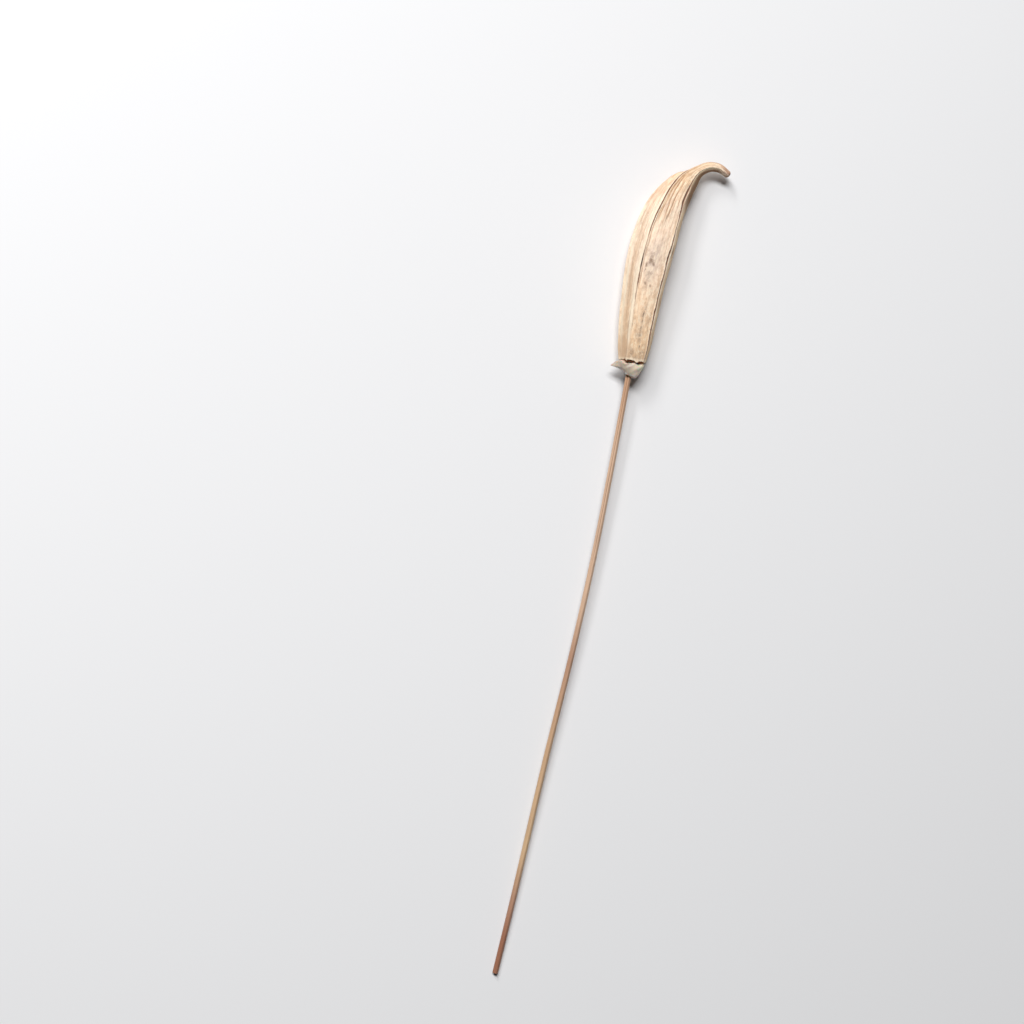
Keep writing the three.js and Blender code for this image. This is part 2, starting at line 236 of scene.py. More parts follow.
def profile(pairs, x):
    """The value at x of a smooth curve through (x, y) pairs."""
    xs, ys = np.array(pairs, float).T
    x = np.asarray(x, float)
    i = np.clip(np.searchsorted(xs, x, side="left") - 1, 0, len(xs) - 2)
    before = np.maximum(np.arange(len(xs)) - 1, 0)
    after = np.minimum(np.arange(len(xs)) + 1, len(xs) - 1)
    slopes = (ys[after] - ys[before]) / (xs[after] - xs[before])
    span = xs[i + 1] - xs[i]
    t = np.clip((x - xs[i]) / span, 0, 1)
    ease = t * t * (3 - 2 * t)
    bend = t * (1 - t) * span
    return lerp(ys[i], ys[i + 1], ease) + bend * ((1 - t) * slopes[i] - t * slopes[i + 1])


class Line:
    """A smooth line through points in mm, measured from the pod's base, walked by share of length."""

    STEPS = 60

    def __init__(self, points):
        p = np.array(points, float) + np.array(BASE)
        p = np.vstack([2 * p[0] - p[1], p, 2 * p[-1] - p[-2]])
        knots = np.sqrt(np.linalg.norm(np.diff(p, axis=0), axis=1))
        t = np.linspace(0, 1, self.STEPS, endpoint=False)[:, None]
        pieces = []
        for i in range(1, len(p) - 2):
            a, b, c = knots[i - 1], knots[i], knots[i + 1]
            leave = ((p[i] - p[i - 1]) / a - (p[i + 1] - p[i - 1]) / (a + b) + (p[i + 1] - p[i]) / b) * b
            arrive = ((p[i + 1] - p[i]) / b - (p[i + 2] - p[i]) / (b + c) + (p[i + 2] - p[i + 1]) / c) * b
            square = -3 * p[i] + 3 * p[i + 1] - 2 * leave - arrive
            cube = 2 * p[i] - 2 * p[i + 1] + leave + arrive
            pieces.append(p[i] + leave * t + square * t**2 + cube * t**3)
        self.points = np.vstack(pieces + [p[-2]])
        steps = np.linalg.norm(np.diff(self.points, axis=0), axis=1)
        self.reached = np.concatenate([[0], np.cumsum(steps)])
        self.length = self.reached[-1]

    def at(self, share):
        """Middle, along, side and up at each share, as arrays of vectors."""
        share = np.atleast_1d(np.asarray(share, float))
        middle = self._read(share)
        small = 0.002
        along = self._read(np.minimum(share + small, 1)) - self._read(np.maximum(share - small, 0))
        along /= np.linalg.norm(along, axis=1)[:, None]
        side = np.cross(along, (0, 0, 1))
        side /= np.linalg.norm(side, axis=1)[:, None]
        return middle, along, side, np.cross(side, along)

    def _read(self, share):
        reach = share * self.length
        return np.column_stack([np.interp(reach, self.reached, self.points[:, k]) for k in range(3)])


POD_LINE = Line(POD_AXIS)
STICK_PATH = Line(STICK_LINE)
INSIDE = math.dist(STICK_LINE[0], STICK_LINE[1])
STICK_LEAVES_AT = (INSIDE + SCAR_OUT) / STICK_PATH.length


def section(place, angle, distance, ahead=0.0):
    """Points of one section: a distance from its middle at each angle, moved ahead along the line."""
    middle, along, side, up = (v[0] for v in place)
    angle = np.asarray(angle, float)
    distance = np.broadcast_to(distance, angle.shape)
    ahead = np.broadcast_to(ahead, angle.shape)
    across = np.outer(distance * np.cos(angle), side) + np.outer(distance * np.sin(angle), up)
    return middle + across + np.outer(ahead, along)


def hump_round(angle, middle, spread):
    """A hump round the section, its middle and its spread in radians."""
    off = angle - middle
    return hump(np.arctan2(np.sin(off), np.cos(off)), spread)


def seeded_wave(x, seed, octaves=4):
    """A smooth random wave of x between about -1 and 1, the same for the same seed."""
    random = np.random.default_rng(seed)
    total = np.zeros_like(np.asarray(x, float))
    for octave in range(octaves):
        phase, stretch = random.uniform(0, 2 * math.pi), random.uniform(0.8, 1.25)
        total += np.sin(2**octave * stretch * x + phase) / 1.6**octave
    return total / 2.2


def ridge_angle(ridge, share):
    turn = ridge["base_turn"] * (1 - smoothstep(share, 0, BASE_TURN_END))
    if ridge["angle"] == LEAN["ridge"]:
        turn += LEAN["turn"] * hump(share - LEAN["share"], LEAN["spread"])
    wander = 0.5 * seeded_wave(share * 40, ridge["angle"] + 400)
    return np.radians(ridge["angle"] + profile(POD_TWIST, share) + turn + wander)


def shoulder_strength(share):
    return smoothstep(share, 0.68, 0.775) * (1 - smoothstep(share, 0.79, 0.825))


def fold_cut(panel, k, step, share):
    """How deep the panel's folds are at each step across it, in mm at full size."""
    cut = np.zeros_like(step)
    for first, last, depth, width, begins, ends in panel["folds"]:
        here = smoothstep(share, begins, begins + FOLD_RISE) * (1 - smoothstep(share, ends - FOLD_FADE, ends))
        drift = lerp(first, last, (share - begins) / (ends - begins))
        drift += 0.015 * seeded_wave(share * 16, int(first * 100) + k)
        fading = 0.75 + 0.45 * seeded_wave(share * 26, int(first * 300) + k)
        cut += depth * here * fading * hump(step - drift, width)
    return cut


def ridge_edge(ridge, side, off, share, radius, slimming):
    """One side of a ridge at angles off its middle: lip height, crack depth, and their masks."""
    reach, paleness, pale_reach = ridge[side]
    lip = np.clip(1 - off / math.radians(reach), 0, 1) ** LIP_POWER
    uneven = 1 + 0.25 * float(seeded_wave(share * 50, ridge["angle"] + 700))
    gape = float(profile(ridge["gape"], share)) * uneven
    half_width = 0.5 * ridge["width"] * slimming * (0.25 + 0.75 * gape)
    inside = np.clip(1 - off * radius / half_width, 0, 1)
    depth = (0.1 + ridge["depth"] * gape) * slimming
    gone = off * radius - half_width
    edge = (1 - smoothstep(gone, 0, EDGE_WIDTH * slimming)) * (gone >= 0) * min(1, 0.25 + 0.85 * gape)
    pale = paleness * (1 - smoothstep(off, 0, math.radians(float(profile(pale_reach, share)))))
    dark = np.sqrt(inside) * min(1, 0.15 + ridge["depth"] * gape)
    return lip, depth * np.sqrt(inside), pale, edge, dark


def pod_outline(share):
    """The pod's outline at one share of its axis: angle and distance, and masks for the finish."""
    radius = float(profile(POD_RADIUS, share))
    slimming = min(max(radius / FULL_RADIUS, 0.25), 1)
    shoulder = shoulder_strength(share)
    columns = []
    for k, ridge in enumerate(RIDGES):
        after, panel = RIDGES[(k + 1) % len(RIDGES)], PANELS[k]
        even = np.arange(panel["points"]) / panel["points"]
        step = even - 0.75 * np.sin(2 * math.pi * even) / (2 * math.pi)
        start, end = float(ridge_angle(ridge, share)), float(ridge_angle(after, share))
        end += 2 * math.pi if end < start else 0
        half = (end - start) / 2
        angle = start + step * (end - start)
        flat = math.cos(half) / np.cos(angle - start - half)
        wall = radius * lerp(flat, 1, PANEL_CONVEXITY)
        hollow = panel["valley"] * (1 - shoulder) - panel["shoulder"] * shoulder
        fold = fold_cut(panel, k, step, share)
        distance = wall - (hollow * np.sin(step * math.pi) + fold) * slimming
        masks = np.zeros((3, len(angle)))
        for this, side, off in ((ridge, "after", angle - start), (after, "before", end - angle)):
            wave = math.sin(2 * math.pi * RIDGE_WAVES * share + this["phase"])
            top = radius * (1 + LIP_HEIGHT) + this["wave"] * wave * slimming
            if this["angle"] == NOTCH["ridge"]:
                top -= NOTCH["depth"] * hump(share - NOTCH["share"], NOTCH["spread"])
            lip, depth, *finish = ridge_edge(this, side, off, share, radius, slimming)
            distance = lerp(distance, top, lip) - depth
            masks = np.maximum(masks, finish)
        turn = angle - math.radians(float(profile(POD_TWIST, share)))
        columns.append(np.vstack([angle, distance, masks, np.clip(fold / FOLD_FULL_DEPTH, 0, 1), turn]))
    return tuple(np.hstack(columns))


def skin_faces(ring_count, sides, joined=False):
    """The quads between neighbouring rings, facing outwards, and the fans of the two ends."""
    i = np.arange(ring_count if joined else ring_count - 1)[:, None] * sides
    ahead = (i + sides) % (ring_count * sides)
    j = np.arange(sides)[None, :]
    after = (j + 1) % sides
    quads = np.stack([i + j, ahead + j, ahead + after, i + after], axis=-1).reshape(-1, 4).tolist()
    if joined:
        return quads
    first, last, last_start = ring_count * sides, ring_count * sides + 1, (ring_count - 1) * sides
    for a in range(sides):
        b = (a + 1) % sides
        quads.append([first, a, b])
        quads.append([last_start + a, last, last_start + b])
    return quads


def mesh_object(name, points, faces, attributes=()):
    """A smooth-shaded mesh in metres at the origin, with float or vector values on its points."""
    mesh = bpy.data.meshes.new(name)
    mesh.from_pydata((np.asarray(points) * MM).tolist(), [], faces)
    mesh.polygons.foreach_set("use_smooth", [True] * len(mesh.polygons))
    for label, values in dict(attributes).items():
        values = np.asarray(values, float)
        kind, field = ("FLOAT", "value") if values.ndim == 1 else ("FLOAT_VECTOR", "vector")
        layer = mesh.attributes.new(label, kind, "POINT")
        layer.data.foreach_set(field, values.ravel())
    mesh.update()
    piece = bpy.data.objects.new(name, mesh)
    bpy.context.scene.collection.objects.link(piece)
    return piece


def bake_down(piece):
    """Turns a piece with modifiers into a plain mesh and takes the modifiers off."""
    bpy.context.view_layer.update()
    evaluated = piece.evaluated_get(bpy.context.evaluated_depsgraph_get())
    mesh = bpy.data.meshes.new_from_object(evaluated)
    finished = bpy.data.objects.new(piece.name, mesh)
    name = piece.name
    bpy.data.objects.remove(piece)
    finished.name = mesh.name = name
    bpy.context.scene.collection.objects.link(finished)
    return finished


class Value:
    """A node's output that Python's operators take further with Math nodes."""

    def __init__(self, graph, socket):
        self.graph = graph
        self.socket = socket

    def _maths(self, operation, a, b=0.0, clamp=False):
        settings = {"operation": operation, "use_clamp": clamp}
        return self.graph.add("ShaderNodeMath", settings, {0: a, 1: b})

    def __add__(self, other):
        return self._maths("ADD", self, other)

    def __sub__(self, other):
        return self._maths("SUBTRACT", self, other)

    def __mul__(self, other):
        return self._maths("MULTIPLY", self, other)

    def __rsub__(self, other):
        return self._maths("SUBTRACT", other, self)

    __radd__ = __add__
    __rmul__ = __mul__

    def above(self, low, high):
        """0 below low, 1 above high, and a smooth rise between them."""
        settings = {"interpolation_type": "SMOOTHSTEP"}
        return self.graph.add("ShaderNodeMapRange", settings, {0: self, 1: low, 2: high})

    def below(self, low, high):
        """1 below low, 0 above high, and a smooth fall between them."""
        return 1 - self.above(low, high)

    def between(self, low, full, fading, gone):
        """0 below low, 1 from full to fading, and 0 again above gone."""
        return self.above(low, full) * self.below(fading, gone)

    def near(self, middle, spread):
        """1 at the middle value, falling smoothly to 0 at the spread on both sides."""
        return self._maths("ABSOLUTE", self - middle).below(0.0, spread)

    def clamped(self):
        return self._maths("ADD", self, 0.0, clamp=True)


class Graph:
    """Adds nodes to a shader or geometry tree."""

    def __init__(self, tree):
        self.tree = tree

    def add(self, kind, settings, inputs, output=0):
        """One node: its settings are set first, then its sockets get values or links."""
        node = self.tree.nodes.new(kind)
        for name, value in settings.items():
            if name == "stops":
                self._set_stops(node.color_ramp, value)
            else:
                setattr(node, name, value)
        for key, value in inputs.items():
            socket = node.inputs[key]
            if isinstance(value, Value):
                self.tree.links.new(value.socket, socket)
            else:
                socket.default_value = value
        return Value(self, node.outputs[output])

    @staticmethod
    def _set_stops(ramp, stops):
        while len(ramp.elements) < len(stops):
            ramp.elements.new(0.5)
        for element, (place, colour) in zip(ramp.elements, stops):
            element.position = place
            element.color = (*colour, 1)

    def attribute(self, name, output="Fac"):
        return self.add("ShaderNodeAttribute", {"attribute_name": name}, {}, output)

    def noise(self, vector, scale, detail, roughness=0.5, along=1, seed=None):
        """Noise of a vector whose third axis is shortened by along, so that it runs lengthwise."""
        if along != 1:
            inputs = {0: vector, 1: (1, 1, along)}
            vector = self.add("ShaderNodeVectorMath", {"operation": "MULTIPLY"}, inputs)
        settings = {}
        inputs = {"Vector": vector, "Scale": scale, "Detail": detail, "Roughness": roughness}
        if seed is not None:
            settings["noise_dimensions"] = "4D"
            inputs["W"] = seed
        return self.add("ShaderNodeTexNoise", settings, inputs)

    def axis(self, vector, which):
        """One number of a vector: 0 for X, 1 for Y."""
        return self.add("ShaderNodeSeparateXYZ", {}, {0: vector}, which)

    def mix(self, mask, first, second, blend="MIX"):
        """The first colour where the mask is 0 and the second where it is 1."""
        first, second = (c if isinstance(c, Value) else (*c, 1) for c in (first, second))
        settings = {"data_type": "RGBA", "blend_type": blend}
        return self.add("ShaderNodeMix", settings, {0: mask, 6: first, 7: second}, 2)

    def paint(self, colour, *coats):
        """The colour under its coats, laid on in turn: each a mask, a paint and perhaps a blend."""
        for mask, paint, *blend in coats:
            colour = self.mix(mask, colour, paint, *blend)
        return colour

    def grey(self, value):
        """A colour with the same value in each channel."""
        return self.add("ShaderNodeCombineColor", {}, {0: value, 1: value, 2: value})


def new_material(name):
    material = bpy.data.materials.new(name)
    material.use_nodes = True
    tree = material.node_tree
    shader = tree.nodes["Principled BSDF"]
    return material, Graph(tree), shader


def feed(graph, shader, socket, value):
    graph.tree.links.new(value.socket, shader.inputs[socket])


def feed_bump(graph, shader, strength, distance, height):
    inputs = {"Strength": strength, "Distance": distance, "Height": height}
    feed(graph, shader, "Normal", graph.add("ShaderNodeBump", {}, inputs))


def set_sockets(shader, values):
    """Sets what is the same all over the surface."""
    for socket, value in values.items():
        shader.inputs[socket].default_value = value


def dried_skin(colours):
    """The pod's papery skin: pinkish beige panels, pale lips, crack edges partly a painted highlight, cracks
    and folds with painted shade, stains and fibres.
    """
    material, g, shader = new_material("dried okra skin")
    grown = g.attribute("grown", "Vector")
    share, turn, lip, edge, crack, fold, scar, rim = (
        g.attribute(name) for name in ("share", "turn", "lip", "edge", "crack", "fold", "scar", "rim")
    )
    skin, base, pale = colours.skin, colours.skin_base, colours.lip
    stain, fleck, brown = colours.stain, colours.fleck, lerp(colours.skin_base, colours.fold, 0.5)
    stops = (
        (0.0, base * 0.86),
        (0.09, base),
        (0.26, lerp(base, skin, 0.45)),
        (0.4, skin),
        (0.66, skin),
        (0.79, base * 0.94),
        (0.92, lerp(base, skin, 0.4)),
        (0.99, colours.tip),
    )
    colour = g.add("ShaderNodeValToRGB", {"stops": stops}, {0: share})

    fibres = g.noise(grown, 1700, 3, 0.65, along=0.045)
    bands = g.noise(grown, 520, 2, 0.5, along=0.09)
    blotches = g.noise(grown, 260, 5, 0.65, along=0.5)
    grain = g.noise(grown, 2600, 3, 0.6)
    streaks = g.noise(grown, 900, 3, 0.55, along=0.03)
    mottle = g.noise(grown, 620, 4, 0.6, along=0.55)
    threads = g.noise(grown, 1100, 4, 0.7, along=0.07)
    smudges = g.noise(grown, 700, 5, 0.75, along=0.8).above(0.4, 0.62)
    cloudy = g.noise(grown, 900, 3, 0.6, along=0.7) * 2.4 - 0.3
    flecks = g.noise(grown, 800, 1, 0.4, along=0.3)

    # The skin's own pattern
    upper = share.above(0.42, 0.62)
    haze = share.near(0.42, 0.16) * turn.near(86, 34) * mottle.above(0.3, 0.6)
    colour = g.paint(
        colour,
        (blotches.above(0.48, 0.7) * 0.5, stain),
        (mottle.above(0.48, 0.64) * (0.6 - upper * 0.34), brown),
        (mottle.near(0.4, 0.09) * 0.6, pale),
        (bands.above(0.5, 0.72) * 0.3, base),
        (streaks.above(0.52, 0.64) * (0.15 + upper * 0.35), brown),
        (streaks.below(0.36, 0.46) * (0.18 + upper * 0.32), pale),
        (threads.above(0.56, 0.66) * 0.18, stain),
        (1.0, g.grey(0.76 + fibres * 0.2 + grain * 0.3), "MULTIPLY"),
        (haze * 0.6, colours.haze),
    )

    # Smudges and specks
    for at_share, at_turn, long, wide, strength in SMUDGES:
        smudge = share.near(at_share, long) * turn.near(at_turn, wide) * smudges
        colour = g.mix(smudge * strength, colour, stain)
    for at_share, at_turn, long, wide, strength in SPECKS:
        speck = share.near(at_share, long * 1.6) * turn.near(at_turn, wide * 1.6) * cloudy
        colour = g.mix(speck.above(0.12, 1.0) * strength, colour, stain)
        colour = g.mix(speck.above(0.5, 1.1) * strength * 0.6, colour, fleck)

    # Zones round the section and along the pod
    body = share.below(0.62, 0.74)
    neck = share.between(0.62, 0.74, 0.95, 0.985)
    beak = share.between(0.74, 0.84, 0.95, 0.985)
    lowered = turn + share.above(0.84, 0.92) * 20
    # Painted shade on the skin beside the left crack, up towards the neck.
    crack_flank_shade = turn.near(103, 9) * share.between(0.57, 0.63, 0.78, 0.86)
    valley = turn.near(147, 17) * (0.5 + bands * 0.9) * share.below(0.45, 0.62)
    rosy = turn.between(112, 130, 185, 200) * share.above(0.6, 0.7)
    strip = turn.between(-8, 4, 34, 41) * body
    # Painted shade along the pod's right outline, and in a dark notch there.
    outline = turn.near(-14, 17) * body * 0.2 + turn.near(33, 9) * share.near(0.48, 0.04) * 0.9
    corners = (turn.above(104, 118) + turn.near(47, 12)) * share.below(0.05, 0.14)
    saddle = share.between(0.76, 0.82, 0.88, 0.93) * turn.near(92, 52)
    under = turn.below(-60, -30) + turn.above(190, 215)
    low_band = turn.near(40, 9) * share.below(0.1, 0.2) * (0.4 + mottle)
    wedge = turn.near(119, 10) * share.between(0.05, 0.1, 0.24, 0.34)
    colour = g.paint(
        colour,
        (flecks.above(0.74, 0.8) * 0.5 * (1 - upper), fleck),
        (turn.near(65, 26) * beak * 0.2, pale),
        (turn.near(40, 12) * beak * 0.8, colours.green),
        (lowered.below(16, 42) * neck * 0.9, colours.hollow),
        (crack_flank_shade * (0.6 + bands * 0.8), FLANK_SHADE_TINT, "MULTIPLY"),
        (valley * 0.6, brown),
        (turn.near(170, 15) * (1 - upper) * 0.7, pale),
        (rosy, ROSY_TINT, "MULTIPLY"),
        (strip * (0.6 + bands * 0.7), colours.side),
        (turn.near(38, 8) * (0.4 + mottle) * body * 0.9, pale),
        (strip * share.near(0.255, 0.06) * 0.5, colours.fold),
        (outline, colours.fold),
        (corners * 0.7, brown),
        (saddle, SADDLE_TINT, "MULTIPLY"),
        (under.clamped() * 0.3, base),
        (low_band * 0.7, colours.fold),
        (wedge * (0.5 + bands * 0.5), pale),
        (turn.near(125, 2.5) * share.below(0.16, 0.24) * 0.6, stain),
    )

    # Folds and cracks darkened with painted shade, lips, crack edges partly a painted highlight, rim and scar
    broken = mottle.above(0.38, 0.58)
    lips = lip * (0.35 + 0.65 * share.above(0.03, 0.22)) * (0.5 + blotches) * (1 - upper * 0.45)
    # Painted shade: the near-black deep inside of the left crack in its middle.
    deep_crack_shade = turn.near(112, 12) * share.near(0.405, 0.06) * 0.85
    colour = g.paint(
        colour,
        # Painted shade in the bottoms of the folds.
        ((fold * (0.6 + fibres)).clamped() * 0.9, colours.fold),
        (lips.clamped() * 0.85, pale),
        # Pale crack edges: partly the skin's pale torn edge, partly a painted highlight.
        (edge.above(0.1, 0.7) * (0.25 + broken * 0.75), colours.edge),
        # Painted shade inside the cracks: brown, near-black where the crack is deepest.
        (crack.above(0.05, 0.6), g.mix(deep_crack_shade, colours.groove, colours.crack)),
        (rim * (0.5 + grain * 0.6), pale),
        (scar, g.mix(grain.above(0.4, 0.6), colours.scar, colours.scar * 0.6)),
        (1.0, WARM_TINT, "MULTIPLY"),
    )
    feed(g, shader, "Base Color", colour)
    feed(g, shader, "Roughness", 0.62 + fibres * 0.25)
    height = fibres * 0.5 + blotches * 0.6 + mottle * 1.1 + grain * 0.2 + streaks * 0.7
    feed_bump(g, shader, 0.7, 0.0005, height)
    set_sockets(shader, {"Specular IOR Level": 0.3})
    return material


def set_glue(colours):
    """Hot glue set as a milky film with pale thin edges, partly a painted highlight, and painted light on its
    shaded sides.
    """
    material, g, shader = new_material("set hot glue")
    place = g.add("ShaderNodeTexCoord", {}, {}, "Object")
    cloud = g.noise(place, 500, 4, 0.6)
    colour = g.paint(
        g.mix(cloud.above(0.35, 0.65), colours.glue * 0.85, colours.glue * 1.05),
        # Painted light: lightens the film where it lies in shade, most on its far side.
        (g.attribute("thick"), colours.glue_painted_light),
        # Pale thin edges: partly a paler thin film, partly a painted highlight along them.
        (g.attribute("thin") * (0.7 + cloud * 0.4), colours.glue_edge_highlight),
    )
    feed(g, shader, "Base Color", colour)
    feed(g, shader, "Roughness", 0.3 + cloud * 0.2)
    feed_bump(g, shader, 0.3, 0.0006, cloud)
    translucence = {"Transmission Weight": 0.15, "Subsurface Weight": 0.4, "Subsurface Scale": 0.002}
    set_sockets(shader, {"IOR": 1.48, **translucence})
    return material


def split_bamboo(colours):
    """Bamboo split along its fibres, redder and darker towards the cut end."""
    material, g, shader = new_material("split bamboo")
    grown = g.attribute("grown", "Vector")
    share = g.attribute("share")
    fibres = g.noise(grown, 2600, 3, 0.6, along=0.02)
    bands = g.noise(grown, 700, 2, 0.5, along=0.03)
    blotches = g.noise(grown, 300, 3, 0.55, along=0.12)
    bamboo, pale, end = colours.bamboo, colours.bamboo_pale, colours.bamboo_end
    browner = lerp(bamboo, end, 0.6)
    stops = (
        (0.0, bamboo),
        (0.42, bamboo),
        (0.5, browner),
        (0.62, lerp(browner, pale, 0.5)),
        (0.8, pale),
        (0.88, browner),
        (0.94, end),
    )
    seam = g.axis(grown, 0).near(0.0003, 0.00022) * share.below(0.25, 0.4)
    colour = g.paint(
        g.add("ShaderNodeValToRGB", {"stops": stops}, {0: share}),
        (blotches.above(0.5, 0.75) * 0.4, bamboo * 0.62),
        (1.0, g.grey(0.72 + fibres * 0.55), "MULTIPLY"),
        (bands.above(0.6, 0.7) * 0.3, end),
        (seam * (0.3 + bands), end * 0.5),
        (share.below(0.06, 0.18) * 0.5, BAMBOO_START),
    )
    feed(g, shader, "Base Color", colour)
    feed(g, shader, "Roughness", 0.45 + fibres * 0.25)
    feed_bump(g, shader, 0.4, 0.0003, fibres + bands)
    return material


def pale_paper(colour):
    """The plain pale floor."""
    material, _, shader = new_material("pale paper")
    set_sockets(shader, {"Base Color": (*colour, 1), "Roughness": 0.9, "Specular IOR Level": 0.2})
    return material


def geometry_tree(name, sizes):
    """A new Geometry Nodes tree with a geometry in and out, and a named input for each of its sizes."""
    tree = bpy.data.node_groups.new(name, "GeometryNodeTree")
    tree.interface.new_socket("Geometry", in_out="INPUT", socket_type="NodeSocketGeometry")
    for label, value in sizes.items():
        socket = tree.interface.new_socket(label, in_out="INPUT", socket_type="NodeSocketFloat")
        socket.default_value = value
    tree.interface.new_socket("Geometry", in_out="OUTPUT", socket_type="NodeSocketGeometry")
    graph = Graph(tree)
    source = tree.nodes.new("NodeGroupInput")
    return graph, {label: Value(graph, source.outputs[label]) for label in ("Geometry", *sizes)}


def finish_tree(g, geometry, height, material):
    """Moves the surface out by a height, and ends the tree in Realize Instances and Set Material."""
    normal = g.add("GeometryNodeInputNormal", {}, {})
    offset = g.add("ShaderNodeVectorMath", {"operation": "SCALE"}, {0: normal, 3: height})
    moved = g.add("GeometryNodeSetPosition", {}, {"Geometry": geometry, "Offset": offset})
    real = g.add("GeometryNodeRealizeInstances", {}, {0: moved})
    painted = g.add("GeometryNodeSetMaterial", {}, {"Geometry": real, "Material": material})
    out = g.tree.nodes.new("NodeGroupOutput")
    g.tree.links.new(painted.socket, out.inputs[0])
    return g.tree


def grow(piece, tree, values):
    """Puts a tree on a piece, sets its inputs by their identifiers, and makes it a plain mesh."""
    modifier = piece.modifiers.new(tree.name, "NODES")
    modifier.node_group = tree
    for item in tree.interface.items_tree:
        if item.in_out == "INPUT" and item.name in values:
            modifier[item.identifier] = values[item.name]
    return bake_down(piece)


def named_value(g, name, kind="FLOAT"):
    return g.add("GeometryNodeInputNamedAttribute", {"data_type": kind}, {"Name": name})


def wrinkle_tree(material):
    """Raises fibres, wrinkles and soft dents on the pod's skin, along its own grown direction."""
    sizes = {"Fibre Height": 0.00008, "Wrinkle Height": 0.0003, "Dent Height": 0.0004, "Seed": 3.0}
    g, given = geometry_tree("dry_wrinkles", sizes)
    grown = named_value(g, "grown", "FLOAT_VECTOR")

    def waves(label, scale, detail, along):
        return (g.noise(grown, scale, detail, along=along, seed=given["Seed"]) - 0.5) * given[label]

    fibres = waves("Fibre Height", 1500.0, 2.0, 0.06)
    wrinkles = waves("Wrinkle Height", 430.0, 2.0, 0.16)
    dents = waves("Dent Height", 120.0, 1.0, 0.5)
    height = (fibres + wrinkles + dents) * named_value(g, "skin")
    return finish_tree(g, given["Geometry"], height, material)


def stick_tree(material):
    """Sweeps a rounded rectangle along the stick's line, with raised fibres and closed ends."""
    sizes = {"Width": 0.0023, "Thickness": 0.0019, "Corner": 0.0003, "Roll": 0.6}
    g, given = geometry_tree("split_stick", {**sizes, "Fibre Height": 0.00008, "Seed": 5.0})

    def store(geometry, name, value, kind="FLOAT"):
        settings = {"data_type": kind, "domain": "POINT"}
        return g.add("GeometryNodeStoreNamedAttribute", settings, {0: geometry, "Name": name, "Value": value})

    path = given["Geometry"]
    for name, output in (("along", "Length"), ("share", "Factor")):
        path = store(path, name, g.add("GeometryNodeSplineParameter", {}, {}, output))
    path = g.add("GeometryNodeSetCurveNormal", {"mode": "Z_UP"}, {0: path})
    sides = {"Width": given["Width"], "Height": given["Thickness"]}
    box = g.add("GeometryNodeCurvePrimitiveQuadrilateral", {}, sides)
    corners = {0: box, "Count": 4, "Radius": given["Corner"]}
    round_box = g.add("GeometryNodeFilletCurve", {"mode": "POLY"}, corners)
    fine_box = g.add("GeometryNodeResampleCurve", {"mode": "LENGTH"}, {0: round_box, "Length": 0.00016})
    roll = g.add("ShaderNodeCombineXYZ", {}, {"Z": given["Roll"]})
    turned = g.add("GeometryNodeTransform", {}, {"Geometry": fine_box, "Rotation": roll})
    ready = store(turned, "across", g.add("GeometryNodeInputPosition", {}, {}), "FLOAT_VECTOR")
    swept = g.add("GeometryNodeCurveToMesh", {}, {0: path, 1: ready, "Fill Caps": True})

    across = named_value(g, "across", "FLOAT_VECTOR")
    parts = {"X": g.axis(across, 0), "Y": g.axis(across, 1), "Z": named_value(g, "along")}
    swept = store(swept, "grown", g.add("ShaderNodeCombineXYZ", {}, parts), "FLOAT_VECTOR")
    grown = named_value(g, "grown", "FLOAT_VECTOR")
    ribs = g.noise(grown, 1500.0, 2.0, along=0.015, seed=given["Seed"]) - 0.5
    return finish_tree(g, swept, ribs * given["Fibre Height"], material)


def torn(angle):
    """The rim's coarse raggedness, its fine torn edge, calmer in some places, and its hanging flap."""
    ragged = RIM_RAGGEDNESS * (0.6 * np.sin(5 * angle + 1) + 0.4 * np.sin(11 * angle))
    fine = 0.16 * np.sin(13 * angle + 2) + 0.12 * np.sin(29 * angle) + 0.1 * np.sin(47 * angle + 1)
    flap = FLAP["reach"] * hump_round(angle, math.radians(FLAP["turn"]), math.radians(FLAP["spread"]))
    return ragged + fine * (0.7 + 0.5 * np.sin(3 * angle + 0.6)) - flap


